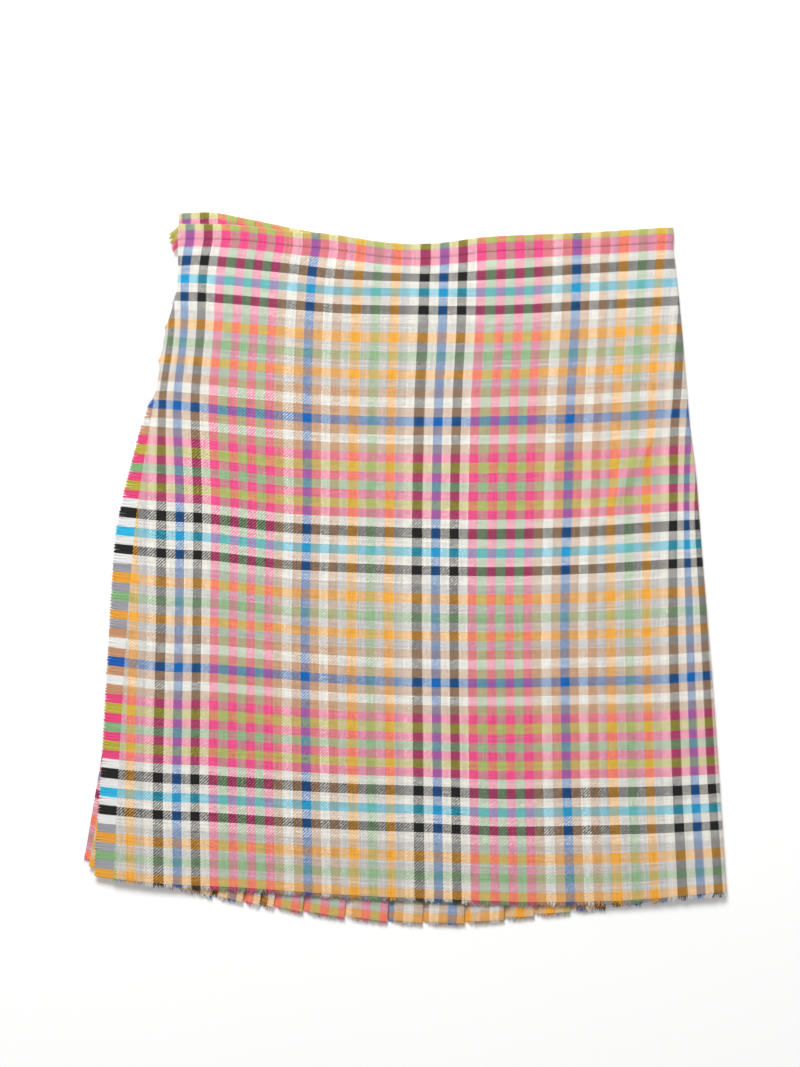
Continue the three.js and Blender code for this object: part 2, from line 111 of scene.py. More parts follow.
UNDER_HEM = {
    "x": [-241.3, -222.3, -186.6, -125.8, -49.8, 33.8, 94.6, 178.2, 240.7],
    "y": [-225.7, -230.3, -235, -237.9, -243.2, -247, -248.9, -247, -242],
}
SIDE_SWELL = {
    "down": [0, 0.12, 0.3, 0.5, 0.75, 1],
    "height": [7.4, 8.6, 10.1, 10.1, 8.8, 7.4],
    "run": [6, 9, 16, 16, 11, 6],
}
# The pleats, from the left: where each one's inner fold meets the hem, and where in the warp's
# check its visible cloth starts, at the inner fold before it. The check runs backwards there.
PLEATS = {
    "fold": [
        -177.5, -163, -148.6, -125, -112.1, -101.5, -79.4, -47.5, -14.8, 11.8, 43.7, 74.1, 96.9,
        124.3, 151.6, 178.2, 202.5,
    ],
    "warp": [
        24.0, 19.9, 5.0, 4.85, 7.25, 5.0, 13.0, 13.0, 14.9, 16.9, 19.9, 21.9, 23.4, 27.4, 31.9,
        33.9, 33.0,
    ],
}
PLEAT_WARP_AFTER = 31.0  # past the last inner fold
# The apron's fringe, where "down" is below 0 beside the waistband. Where "loose" is 1 its threads
# are few and lie every way.
FRINGE = {
    "down": [-0.03, 0, 0.01, 0.0125, 0.085, 0.095, 0.105, 0.125, 0.135, 0.145, 0.158, 0.172, 0.187,
             0.2, 0.24, 0.257, 0.271, 0.3, 0.331, 0.42, 0.47, 0.566, 0.77, 0.99, 1],
    "long": [8, 5.5, 4, 0.5, 0.5, 3, 0.6, 0.8, 3.2, 0.8, 2, 0.8, 3, 0.5, 0.8, 4.2, 5.2, 7.6,
             8.9, 13.1, 14.7, 14, 13.4, 14.4, 14.4],
    "droop": [1.2, 1.4, 1.2, 0.4, 0.4, 0.8, 0.4, 0.4, 0.8, 0.4, 0.6, 0.4, 0.8, 0.4, 0.4, 1, 1.6, 2.2,
              2.6, 3.2, 3.3, 3.3, 2.4, 1, 1],
    "loose": [0.75, 0.75, 0.75, 1, 1, 1, 1, 1, 1, 1, 1, 1, 1, 1, 0.9, 0.6, 0.45, 0.25, 0.12, 0.05, 0,
              0, 0, 0, 0],
}
# How far the apron's edge rolls under at the left hip
HIP_ROLL = {
    "down": [0, 0.06, 0.14, 0.25, 0.33, 0.4, 1],
    "deep": [0.3, 0.8, 2.4, 2.8, 1.6, 0.2, 0],
}
HIP_ROLL_WIDE = 7.5

# The check: 28 bands of the same width before it repeats, in both directions
REPEAT = 28
BAND = 7.06  # millimetres
THREADS = 336  # in a repeat
YARN_COLOURS = {
    "pink": (243, 84, 142),
    "lime": (196, 186, 72),
    "green": (150, 187, 140),
    "orange": (249, 175, 68),
    "cyan": (52, 192, 224),
    "blue": (20, 104, 186),
    "black": (30, 29, 28),
    "white": (239, 236, 228),
    "tan": (205, 162, 127),
    "grey": (214, 210, 203),
}
MIX_POWER = 0.6  # crossing yarns look darker than the mean of their light: it is taken at this power
WARP_SHARE = 0.47  # of the warp in what shows
WARP = (
    "black white blue white black white pink green pink green pink green pink tan "
    "white tan blue tan white tan grey orange grey green grey orange grey white"
).split()
WEFT = (
    "black white cyan white black white grey orange grey green grey orange grey tan "
    "white tan blue tan white tan pink lime pink green pink lime pink white"
).split()
# Where the middles of nine bands of the warp lie on the front, at nine heights
WARP_BANDS = [0.5, 2.5, 16.5, 30.5, 44.5, 50.5, 56.5, 58.5, 60.5]
WARP_LINES = {
    "y": [-221.2, -160.4, -38.8, 52.4, 128.4, 181.6, 216, 234, 250],
    "black_left": [-188.2, -188.5, -186.2, -185.9, -184.8, -178.2, -179.5, -181.0, -178.3],
    "blue_left": [-174.0, -174.4, -172.5, -172.1, -174.0, -169.1, -168.3, -167.0, -164.3],
    "blue_second": [-74.9, -76.0, -76.8, -75.2, -75.2, -74.1, -72.3, -70.4, -67.3],
    "blue_third": [24.3, 23.6, 22.4, 22.8, 24.7, 27.4, 28.4, 29.2, 29.2],
    "blue_fourth": [123.9, 122.0, 120.5, 122.7, 125.0, 128.1, 129.4, 129.6, 130.2],
    "grey_last": [167.0, 164.6, 162.5, 163.1, 167.0, 170.0, 171.4, 172.4, 173.3],
    "black_first": [209.0, 206.0, 202.9, 203.3, 205.6, 209.0, 212.0, 213.8, 215.0],
    "blue_last": [222.7, 219.3, 215.1, 213.0, 216.2, 221.5, 225.0, 227.2, 228.4],
    "black_last": [236.0, 232.2, 226.1, 221.2, 226.0, 233.5, 237.5, 240.0, 241.4],
}
# Where the middles of six bands of the weft lie, at ten places across
WEFT_BANDS = [0.5, 2.5, 16.5, 30.5, 44.5, 58.5]
SEAM_BAND = -1.85
HEM_BAND = 67.85
LOWER_HEM_BAND = 68.0  # of the under apron and of the back
WEFT_LINES = {
    "x": [-223.1, -180.5, -151.6, -93.1, -49.8, 18.6, 71.8, 136.4, 194.9, 223.8],
    "black": [234.8, 234.5, 234.8, 229.1, 224.0, 221.5, 224.0, 228.5, 232.0, 233.3],
    "cyan_upper": [221.9, 221.2, 220.8, 215.8, 212.0, 210.7, 211.1, 214.7, 217.7, 219.3],
    "blue_upper": [126.9, 125.4, 122.7, 117.0, 114.0, 112.5, 113.2, 115.1, 118.2, 119.7],
    "cyan_middle": [30.4, 26.2, 24.7, 17.9, 15.6, 13.3, 12.5, 14.4, 18.2, 19.8],
    "blue_lower": [-69.5, -74.1, -74.9, -79.8, -83.2, -85.9, -86.3, -84.9, -83.2, -80.9],
    "cyan_lower": [-169.5, -172.9, -174.0, -177.8, -180.1, -182.4, -184.7, -183.9, -182.8, -181.3],
}
BAND_SEAM_WEFT = -1.05  # the waistband's own check, at its seam and at its top edge
BAND_TOP_WEFT = -2.66
BACK_BAND_SHIFT = 3.0  # the back waistband's check lies this far to the left
UNDER_APRON_WARP = 21.1  # at the under apron's left-hand fold

# Soft ridges and troughs of the over apron, from one point to the other
CREASES = [
    {"from": (202, 125), "to": (147, 32), "height": 2.0, "width": 3.4},
    {"from": (155, 46), "to": (141, -30), "height": 0.5, "width": 7.0},
    {"from": (-84, 224), "to": (14, 213), "height": 1.3, "width": 8.0},
    {"from": (6, 213), "to": (112, 223), "height": 1.2, "width": 8.0},
    {"from": (-163, 214), "to": (-177, 118), "height": -0.5, "width": 6.0},
    {"from": (-150, 120), "to": (-146, 20), "height": 0.35, "width": 9.0},
    {"from": (-188, -30), "to": (-199, -226), "height": 0.45, "width": 8.0},
    {"from": (-112, -96), "to": (-124, -238), "height": -0.4, "width": 12.0},
    {"from": (-36, -70), "to": (-30, -240), "height": 0.3, "width": 13.0},
    {"from": (62, -110), "to": (70, -246), "height": -0.35, "width": 12.0},
    {"from": (160, -50), "to": (182, -242), "height": 0.5, "width": 10.0},
    {"from": (-128, 62), "to": (84, 44), "height": 0.3, "width": 16.0},
    {"from": (90, 170), "to": (176, 150), "height": -0.4, "width": 12.0},
]
KINK = 0.2  # of a band: how far the first crease sets the check off on both its sides
KINK_WIDE = 4.0
KINK_REACH = 26.0
PUCKERS = {
    "x": [-158, -139, -112, -90, -66, -41, -17, 8, 29, 52, 78, 101, 127, 152, 175, 192],
    "long": [18, 26, 15, 30, 20, 34, 24, 30, 18, 27, 16, 31, 20, 25, 32, 17],
    "height": [0.4, -0.3, 0.3, 0.45, -0.35, 0.5, 0.3, -0.4, 0.5, 0.3, -0.3, 0.4, 0.3, -0.4, 0.4, 0.3],
    "width": [3, 4, 3.5, 4, 3, 4.5, 3, 4, 3.5, 3, 4, 4, 3, 4, 3.5, 3],
}


def curve(xs, ys, at):
    """A smooth curve through points, read at each place. The points may differ between places."""
    at = np.asarray(at, float)
    places = at.ravel()
    shape = (len(xs), places.size)
    xs = np.broadcast_to(np.reshape(np.asarray(xs, float), (len(xs), -1)), shape)
    ys = np.broadcast_to(np.reshape(np.asarray(ys, float), (len(ys), -1)), shape)
    tangents = np.empty(shape)
    tangents[1:-1] = (ys[2:] - ys[:-2]) / (xs[2:] - xs[:-2])
    tangents[0] = (ys[1] - ys[0]) / (xs[1] - xs[0])
    tangents[-1] = (ys[-1] - ys[-2]) / (xs[-1] - xs[-2])
    before = np.clip((xs <= places).sum(0) - 1, 0, len(xs) - 2)
    column = np.arange(places.size)
    x0, x1 = xs[before, column], xs[before + 1, column]
    y0, y1 = ys[before, column], ys[before + 1, column]
    m0, m1 = tangents[before, column], tangents[before + 1, column]
    step = x1 - x0
    share = (places - x0) / step
    inside = np.clip(share, 0, 1)
    rest = 1 - inside
    value = (1 + 2 * inside) * rest**2 * y0 + inside**2 * (3 - 2 * inside) * y1
    value += inside * rest * step * (rest * m0 - inside * m1)
    value += np.minimum(share, 0) * step * m0 + np.maximum(share - 1, 0) * step * m1
    return value.reshape(at.shape)


def read(table, column_from, column_to):
    return lambda at: curve(table[column_from], table[column_to], at)


over_left = read(OVER_LEFT, "down", "x")
over_right = read(OVER_RIGHT, "down", "x")
back_left = read(BACK_LEFT, "down", "x")
over_seam = read(OVER_SEAM, "x", "y")
over_hem = read(OVER_HEM, "x", "y")
back_seam = read(BACK_SEAM, "x", "y")
back_hem = read(BACK_HEM, "x", "y")
under_hem = read(UNDER_HEM, "x", "y")
swell_height = read(SIDE_SWELL, "down", "height")
swell_run = read(SIDE_SWELL, "down", "run")
fringe_long = read(FRINGE, "down", "long")
fringe_droop = read(FRINGE, "down", "droop")
fringe_loose = read(FRINGE, "down", "loose")
hip_roll = read(HIP_ROLL, "down", "deep")


def lerp(start, end, share):
    return start + (end - start) * share


def smooth(value):
    value = np.clip(value, 0, 1)
    return value * value * (3 - 2 * value)


def down_between(seam, hem, left, x, down):
    """The y of points of a cloth, from the place of x between its two side edges."""
    across = np.clip((x - left(down)) / (over_right(down) - left(down)), 0, 1)
    seam_y = seam(lerp(left(0), over_right(0), across))
    hem_y = hem(lerp(left(1), over_right(1), across))
    return lerp(seam_y, hem_y, down)


def over_y(x, down):
    return down_between(over_seam, over_hem, over_left, x, down)


def back_y(hem, x, down):
    return down_between(back_seam, hem, back_left, x, down)


def beside(x, y, start, end):
    """How far points are along a line, as a share of it, and how far to its side."""
    dx, dy = end[0] - start[0], end[1] - start[1]
    length = math.hypot(dx, dy)
    along = ((x - start[0]) * dx + (y - start[1]) * dy) / length**2
    return along, ((x - start[0]) * dy - (y - start[1]) * dx) / length


def warp_at(x, y):
    """Where points of the front lie in the warp's check, in bands."""
    lines = [curve(WARP_LINES["y"], WARP_LINES[name], y).ravel() for name in list(WARP_LINES)[1:]]
    along, aside = beside(x, y, CREASES[0]["from"], CREASES[0]["to"])
    kink = np.tanh(aside / KINK_WIDE) * np.exp(-((aside / KINK_REACH) ** 2) - (2 * along - 1) ** 4)
    return curve(np.array(lines), WARP_BANDS, x) - KINK * kink


def weft_at(x, y):
    """Where points of the front lie in the weft's check, in bands, from the waist seam down."""
    lines = [curve(WEFT_LINES["x"], WEFT_LINES[name], x).ravel() for name in list(WEFT_LINES)[1:]]
    lines.insert(0, over_seam(x).ravel())
    lines.append(over_hem(x).ravel())
    return curve(-np.array(lines), [SEAM_BAND, *WEFT_BANDS, HEM_BAND], -np.asarray(y))


def arc(x, z):
    """How far each point of a line is from its first one."""
    return np.concatenate([[0], np.cumsum(np.hypot(np.diff(x), np.diff(z)))])


TURN_STEPS = 7


def half_turn(x, z, radius, side, rise):
    """A half turn of cloth to the side that a sign gives. Where rise is 1 it goes up, at -1 down."""
    angle = np.linspace(0, math.pi, TURN_STEPS + 2)[1:-1]
    return x + side * radius * np.sin(angle), z - rise * radius * np.cos(angle)


# Relief of the over apron

FADE = 0.35  # share of a ridge's length over which each of its ends fades out
PUCKER_ABOVE = 1 / 3  # of its length, over the seam
PUCKER_LEAN = 1 / 12
WAVE_HEIGHT = 0.16
LONG_WAVE = {"x": 41.0, "y": 97.0}
CROSS_WAVE = {"x": -170.0, "y": 63.0}
SHORT_WAVE = {"x": 53.0, "y": 29.0}
SHORT_WAVE_SHARE = 0.6


def ridge(x, y, start, end, height, width):
    """A soft ridge between two points, which fades out at both."""
    along, aside = beside(x, y, start, end)
    fade = smooth(along / FADE) * smooth((1 - along) / FADE)
    return height * fade * np.exp(-0.5 * (aside / width) ** 2)


def phase(x, y, wave):
    return x / wave["x"] + y / wave["y"]


def relief(x, y):
    """The height of the creases, the puckers below the seam and a slight waviness."""
    total = np.zeros_like(x)
    for crease in CREASES:
        total += ridge(x, y, crease["from"], crease["to"], crease["height"], crease["width"])
    for at, long, height, width in zip(*PUCKERS.values()):
        top = float(over_seam(at))
        start = at, top + long * PUCKER_ABOVE
        end = at + long * PUCKER_LEAN, top - long
        total += ridge(x, y, start, end, height, width)
    waves = np.sin(phase(x, y, LONG_WAVE)) * np.cos(phase(x, y, CROSS_WAVE))
    waves += SHORT_WAVE_SHARE * np.sin(phase(x, y, SHORT_WAVE))
    return total + WAVE_HEIGHT * waves


def over_height(x, down):
    share = (x - over_right(down) + swell_run(down) + SIDE_SWELL_RUN) / SIDE_SWELL_RUN
    return lerp(OVER_APRON_HEIGHT, swell_height(down), smooth(share))


SEAM_TUCK = 0.1  # how far the cloth goes down to pass under the waistband
SEAM_TUCK_RUN = 5.0
SEAM_ALLOWANCE = 1.5
SEAM_FADE = 9.0  # from the seam to where the relief is whole
SIDE_FADE = 22.0


def over_surface(x, y, down):
    """The height of the over apron's cloth, with its relief and the roll of its left-hand edge."""
    fold_starts = over_right(down) - swell_run(down)
    left = over_left(down)
    shape = relief(x, y) * smooth((fold_starts - x) / SIDE_FADE)
    rolled = hip_roll(down) * np.clip(1 - (x - left) / HIP_ROLL_WIDE, 0, 1) ** 2
    tuck = SEAM_TUCK * np.clip(1 - (over_seam(x) - y) / SEAM_TUCK_RUN, 0, 1) ** 2
    shape *= smooth((over_seam(x) - y) / SEAM_FADE)
    return over_height(x, down) + shape - rolled - tuck


# Meshes

def add_mesh(name, points, faces, uv=None, smooth_angle=50):
    """A mesh from points in millimetres, faces of one size, and each point's place in the check."""
    mesh = bpy.data.meshes.new(name)
    points = np.asarray(points, float) + (ORIGIN_X, ORIGIN_Y, 0)
    faces = np.asarray(faces, np.int32)
    sides = faces.shape[1]
    mesh.vertices.add(len(points))
    mesh.vertices.foreach_set("co", (points * MM).astype(np.float32).ravel())
    mesh.loops.add(faces.size)
    mesh.loops.foreach_set("vertex_index", faces.ravel())
    mesh.polygons.add(len(faces))
    mesh.polygons.foreach_set("loop_start", np.arange(len(faces), dtype=np.int32) * sides)
    mesh.update(calc_edges=True)
    if uv is not None:
        layer = mesh.uv_layers.new(name="cloth")
        layer.data.foreach_set("uv", np.asarray(uv, np.float32)[faces.ravel()].ravel())
    mesh.validate()
    mesh.shade_smooth()
    mesh.set_sharp_from_angle(angle=math.radians(smooth_angle))
    made = bpy.data.objects.new(name, mesh)
    bpy.context.scene.collection.objects.link(made)
    return made


def normals(grid):
    down_rows = np.gradient(grid, axis=0)
    across = np.gradient(grid, axis=1)
    out = np.cross(down_rows, across)
    return out / np.linalg.norm(out, axis=2, keepdims=True)


def shell(name, grid, thick, warp, weft):
    """A closed thin shell of cloth on a grid of points, whose rows run from the waist down."""
    rows, columns = grid.shape[:2]
    out = normals(grid) * thick / 2
    points = np.concatenate([(grid + out).reshape(-1, 3), (grid - out).reshape(-1, 3)])
    index = np.arange(rows * columns).reshape(rows, columns)
    under = index + rows * columns

    def quads(a, b, c, d):
        return np.stack([a.ravel(), b.ravel(), c.ravel(), d.ravel()], axis=1)

    faces = [
        quads(index[:-1, :-1], index[1:, :-1], index[1:, 1:], index[:-1, 1:]),
        quads(under[:-1, :-1], under[:-1, 1:], under[1:, 1:], under[1:, :-1]),
        quads(index[:-1, 0], under[:-1, 0], under[1:, 0], index[1:, 0]),
        quads(index[:-1, -1], index[1:, -1], under[1:, -1], under[:-1, -1]),
        quads(index[0, :-1], index[0, 1:], under[0, 1:], under[0, :-1]),
        quads(index[-1, :-1], under[-1, :-1], under[-1, 1:], index[-1, 1:]),
    ]
    place = np.stack([warp.ravel(), weft.ravel()], axis=1) / REPEAT
    return add_mesh(name, points, np.concatenate(faces), np.concatenate([place, place]))


def cloth(name, rows, line):
    """A cloth from the function of one line across it: x, y and height, and its place in the check."""
    lines = np.array([np.stack(line(down), axis=1) for down in np.linspace(0, 1, rows)])
    return shell(name, lines[..., :3], SHELL, lines[..., 3], lines[..., 4])


def strands(name, lines, radii, places, sides=3):
    """Loose threads as one mesh. lines holds each one's points, radii each point's, and places each
    one's place in the check."""
    count, steps = lines.shape[:2]
    along = np.gradient(lines, axis=1)
    along /= np.linalg.norm(along, axis=2, keepdims=True)
    aside = np.cross(along, (0, 0, 1))
    aside /= np.linalg.norm(aside, axis=2, keepdims=True)
    up = np.cross(aside, along)
    angles = np.arange(sides) / sides * 2 * math.pi + math.pi / 2
    around = np.cos(angles)[:, None, None, None] * aside + np.sin(angles)[:, None, None, None] * up
    points = (lines + around * radii[..., None]).transpose(1, 2, 0, 3).reshape(-1, 3)
    index = np.arange(count * steps * sides).reshape(count, steps, sides)
    after = np.roll(index, -1, axis=2)
    a, b = index[:, :-1].ravel(), after[:, :-1].ravel()
    c, d = after[:, 1:].ravel(), index[:, 1:].ravel()
    faces = [np.stack([a, b, c], axis=1), np.stack([a, c, d], axis=1)]
    for corner in range(1, sides - 1):
        faces.append(index[:, 0][:, [0, corner + 1, corner]])
        faces.append(index[:, -1][:, [0, corner, corner + 1]])
    place = np.repeat(places, steps * sides, axis=0)
    return add_mesh(name, points, np.concatenate(faces), place)


# The cloths

OVER_ROWS = 214
OVER_FLAT_COLUMNS = 172
SIDE_COLUMNS = 20
SIDE_LOW_COLUMNS = 6
LAP_COLUMNS = 3
LAP = slice(-LAP_COLUMNS, None)
HEM_PAST = 1.2  # how far the weave goes past the solid's hem, before its loose threads
LAST_STRIPE_IN = 3.0


def over_line(down, flat_columns=OVER_FLAT_COLUMNS):
    """One line across the over apron: x and height, with flat_columns of its points on its flat part.
    """
    edge = float(over_right(down)) - WALL / 2
    run = float(swell_run(down))
    flat = lerp(float(over_left(down)), edge - run, np.linspace(0, 1, flat_columns))
    top = float(over_height(np.array(edge - run), down))
    side = np.linspace(0, math.pi / 2, SIDE_COLUMNS + 1)[1:]
    low = np.linspace(math.pi / 2, math.pi, SIDE_LOW_COLUMNS + 1)[1:]
    lap = np.linspace(edge - SIDE_LOW_RUN, float(over_right(down)) - SIDE_LAP, LAP_COLUMNS + 1)[1:]
    x = np.concatenate([
        flat,
        edge - run + run * np.sin(side),
        edge - SIDE_LOW_RUN + SIDE_LOW_RUN * np.sin(low),
        lap,
    ])
    z = np.concatenate([
        np.full(flat_columns, top),
        SIDE_MIDDLE + (top - SIDE_MIDDLE) * np.cos(side),
        SIDE_MIDDLE + (SIDE_MIDDLE - FLOOR_LAYER) * np.cos(low),
        np.full(LAP_COLUMNS, FLOOR_LAYER),
    ])
    return x, z


def round_the_side(x, z, warp, stripe_end):
    """The warp's check past the last stripe that the front shows goes on by the cloth's length."""
    last = np.searchsorted(x[: np.argmax(x) + 1], stripe_end)
    length = arc(x, z)
    warp[last:] = warp[last - 1] + (length[last:] - length[last - 1]) / BAND
    return warp


def over_apron_line(down):
    x, z = over_line(down)
    y = over_y(x, down)
    y[LAP] = back_y(back_hem, x[LAP], down)
    if down == 0:
        y += SEAM_ALLOWANCE
    if down == 1:
        y -= HEM_PAST
    flat = slice(0, OVER_FLAT_COLUMNS)
    z[flat] = over_surface(x[flat], y[flat], down)
    front_x = np.maximum.accumulate(x)
    warp = round_the_side(x, z, warp_at(front_x, y), x.max() - LAST_STRIPE_IN)
    return x, y, z, warp, weft_at(front_x, y)


def over_apron():
    return cloth("over_apron_cloth", OVER_ROWS, over_apron_line)


UNDER_ROWS = 96
UNDER_COLUMNS = 90
UNDER_LAP_COLUMNS = 6


def under_apron_line(down):
    fold = float(back_left(down)) + APRON_PLEAT_SET_IN + WALL / 2 + TURN
    layer = UNDER_APRON_HEIGHT - LAYER
    edge = float(over_right(down)) - UNDER_APRON_EDGE
    turn_x, turn_z = half_turn(fold, layer + TURN, TURN, side=-1, rise=1)
    top_x = np.linspace(fold, edge, UNDER_COLUMNS)
    swell = np.clip((swell_height(down) - OVER_APRON_HEIGHT) / SIDE_SWELL_MOST, 0, 1)
    rise = smooth((top_x - edge + SIDE_SWELL_RUN) / (SIDE_SWELL_RUN - UNDER_APRON_DROOP_RUN))
    droop = smooth((top_x - edge + UNDER_APRON_DROOP_RUN) / UNDER_APRON_DROOP_RUN)
    lifted = UNDER_APRON_HEIGHT + UNDER_APRON_SIDE_LIFT * swell * rise
    top_z = lerp(lifted, UNDER_APRON_EDGE_HEIGHT, droop)
    lap_x = np.linspace(fold + APRON_PLEAT_DEEP, fold, UNDER_LAP_COLUMNS)
    x = np.concatenate([lap_x, turn_x, top_x])
    z = np.concatenate([np.full(UNDER_LAP_COLUMNS, layer), turn_z, top_z])
    y = back_y(under_hem, x, down)
    length = arc(x, z)
    warp = UNDER_APRON_WARP + (length - length[UNDER_LAP_COLUMNS + TURN_STEPS // 2]) / BAND
    weft = LOWER_HEM_BAND - (y - back_y(under_hem, x, 1.0)) / BAND
    return x, y, z, warp, weft


def under_apron():
    return cloth("under_apron_cloth", UNDER_ROWS, under_apron_line)


BACK_ROWS = 74
BACK_LAP_COLUMNS = 5
PLEAT_COLUMNS = 3  # in each flat part of a pleat
RISE_COLUMNS = 5  # where it goes up over the next one
FOLD_BANDS = 0.2  # of the check, that pass in a fold's turn
SIDE_STRIP_WARP = 12.05  # at the back's left-hand fold, which shows past the apron's fringe
FRAY_LONG = 2.3  # how far the loose threads reach past the back's weave


def back_line(down):
    """One line across the pleated back: x, height, droop of the folds and the warp's check."""
    left = float(back_left(down))
    width = float(over_right(down)) - left
    hem_left = float(back_left(1))
    hem_width = float(over_right(1)) - hem_left
    fold = left + WALL / 2 + TURN
    low, middle, high = (FLOOR_LAYER + layer * LAYER for layer in range(PLEAT_LAYERS))
    xs, zs, droops, warps = [], [], [], []

    def add(x, z, warp, droop=0.0):
        x = np.atleast_1d(np.asarray(x, float))
        xs.append(x)
        zs.append(np.broadcast_to(z, x.shape))
        warps.append(np.broadcast_to(warp, x.shape))
        droops.append(np.broadcast_to(droop, x.shape))

    turn_x, turn_z = half_turn(fold, low + TURN, TURN, side=-1, rise=-1)
    inner_x = np.linspace(fold + APRON_PLEAT_DEEP, fold, BACK_LAP_COLUMNS)
    add(inner_x, middle, SIDE_STRIP_WARP + (inner_x - left) / BAND)
    add(turn_x, turn_z, SIDE_STRIP_WARP)
    add(fold, low, SIDE_STRIP_WARP - (fold - left) / BAND)
    previous = left + APRON_PLEAT_DEEP
    previous_at_hem = hem_left + APRON_PLEAT_DEEP
    fan = PLEAT_FAN * down**PLEAT_FAN_POWER
    for at_hem, start in zip(*PLEATS.values()):
        form = NARROW if at_hem - previous_at_hem <= NARROW_PLEAT else WIDE
        inner = left + width * (at_hem - hem_left) / hem_width
        outer = previous + form["clear"]
        rise = np.linspace(0, 1, RISE_COLUMNS + 1)[1:]
        shown_x = np.concatenate([
            np.linspace(previous, outer - form["rise_start"], PLEAT_COLUMNS),
            outer - lerp(form["rise_start"], form["rise_end"], rise),
            np.linspace(outer - form["rise_end"], inner, PLEAT_COLUMNS + 1)[1:],
        ])
        shown_z = np.concatenate([
            np.full(PLEAT_COLUMNS, low),
            lerp(low, high, smooth(rise)),
            np.full(PLEAT_COLUMNS, high),
        ])
        share = (shown_x - previous) / (inner - previous)
        add(shown_x, shown_z, start - (shown_x - previous) / BAND, fan * share)
        end = start - (inner - previous) / BAND
        turn_x, turn_z = half_turn(inner, middle + TURN, TURN, side=1, rise=-1)
        add(turn_x, turn_z, end, fan)
        following = PLEATS["fold"].index(at_hem) + 1
        is_last = following == len(PLEATS["fold"])
        after = PLEAT_WARP_AFTER if is_last else PLEATS["warp"][following]
        at_outer = after + (inner - outer) / BAND
        add([inner, outer], middle, [end - FOLD_BANDS, at_outer + FOLD_BANDS], fan)
        turn_x, turn_z = half_turn(outer, low + TURN, TURN, side=-1, rise=-1)
        add(turn_x, turn_z, at_outer + FOLD_BANDS / 2)
        add(outer, low, at_outer)
        previous = inner
        previous_at_hem = at_hem
    end = float(over_right(down)) - SIDE_LAP - SEAM_GAP
    tail = np.linspace(previous, end, PLEAT_COLUMNS)
    add(tail, low, PLEAT_WARP_AFTER - (tail - previous) / BAND)
    return [np.concatenate(part) for part in (xs, zs, droops, warps)]


def pleated_back_line(down):
    x, z, droop, warp = back_line(down)
    inset = FRAY_LONG if down == 1 else 0
    y = back_y(back_hem, x, down) - droop + inset
    weft = LOWER_HEM_BAND - (y - back_y(back_hem, x, 1.0) + droop - FRAY_LONG) / BAND
    return x, y, z, warp, weft


def pleated_back():
    return cloth("pleated_back_cloth", BACK_ROWS, pleated_back_line)


# The waistband: a strip folded at its top edge, with its raw edges in the seam

BAND_HALF_GAP = 0.42  # from the band's middle to each of its two layers
BAND_SHELL = 0.72
BAND_FACE_ROWS = 9
BAND_COLUMNS = 150
BAND_CROWN = 0.18
BAND_STRIPE_IN = 2.0  # as LAST_STRIPE_IN


def band_section():
    """The strip's line from its seam, over its fold and down behind: rise, offset and weft."""
    radius = BAND_HALF_GAP
    top = BAND_TALL - radius - BAND_SHELL / 2
    face = np.linspace(SEAM_GAP / 2, top, BAND_FACE_ROWS)
    angle = np.linspace(0, math.pi, TURN_STEPS + 2)[1:-1]
    rise = np.concatenate([face, top + radius * np.sin(angle), face[::-1]])
    crown = BAND_CROWN * np.sin(math.pi * (face - face[0]) / (top - face[0]))
    offset = np.concatenate([radius + crown, radius * np.cos(angle), np.full(len(face), -radius)])
    length = arc(rise, offset)
    at_top = length[BAND_FACE_ROWS + TURN_STEPS // 2]
    weft = BAND_SEAM_WEFT + (BAND_TOP_WEFT - BAND_SEAM_WEFT) * length / at_top
    return rise, offset, weft


def band(name, x, y, z, warp):
    """Sweeps the waistband's section along a line, in the plane of its x and z."""
    rise, offset, weft = band_section()
    along = np.stack([np.gradient(x), np.gradient(z)], axis=1)
    along /= np.linalg.norm(along, axis=1, keepdims=True)
    grid = np.zeros((len(rise), len(x), 3))
    grid[..., 0] = x - along[:, 1] * offset[:, None]
    grid[..., 1] = y + rise[:, None]
    grid[..., 2] = z + along[:, 0] * offset[:, None]
    order = slice(None, None, -1)
    warps = np.broadcast_to(warp, grid.shape[:2])
    wefts = np.broadcast_to(weft[:, None], grid.shape[:2])
    return shell(name, grid[order], BAND_SHELL, warps[order], wefts[order])


def front_band_line():
    x, z = over_line(0.0, BAND_COLUMNS)
    flat = slice(0, BAND_COLUMNS)
    z[flat] = over_height(x[flat], 0.0)
    y = over_y(x, 0.0)
    y[LAP] = back_y(back_hem, x[LAP], 0.0)
    return x, y, z


def waistband_front():
    x, y, z = front_band_line()
    warp = round_the_side(x, z, warp_at(np.maximum.accumulate(x), y), x.max() - BAND_STRIPE_IN)
    low = z.copy()
    low[z < SIDE_MIDDLE] = np.maximum(z[z < SIDE_MIDDLE], BACK_BAND_LOW)
    return band("waistband_front_strip", x, y, low, warp)


def waistband_back():
    fold = float(back_left(0)) + WALL + BACK_BAND_TURN
    back_end = float(over_right(0)) - SIDE_LAP - SEAM_GAP
    under_end = float(over_right(0)) - UNDER_APRON_EDGE
    floor_x = np.linspace(back_end, fold, BAND_COLUMNS)
    middle = BACK_BAND_LOW + BACK_BAND_TURN
    turn_x, turn_z = half_turn(fold, middle, BACK_BAND_TURN, side=-1, rise=1)
    top_x = np.linspace(fold, under_end, BAND_COLUMNS)
    x = np.concatenate([floor_x, turn_x, top_x])
    floor_z = np.full(BAND_COLUMNS, BACK_BAND_LOW)
    z = np.concatenate([floor_z, turn_z, np.full(BAND_COLUMNS, UNDER_APRON_HEIGHT)])
    y = back_y(back_hem, x, 0.0)
    length = arc(x, z)
    top = BAND_COLUMNS + TURN_STEPS
    warp = np.empty(len(x))
    warp[top:] = warp_at(x[top:] + BACK_BAND_SHIFT, over_seam(x[top:]))
    warp[:top] = warp[top] - (length[top] - length[:top]) / BAND
    return band("waistband_back_strip", x, y, z, warp)


# Loose threads

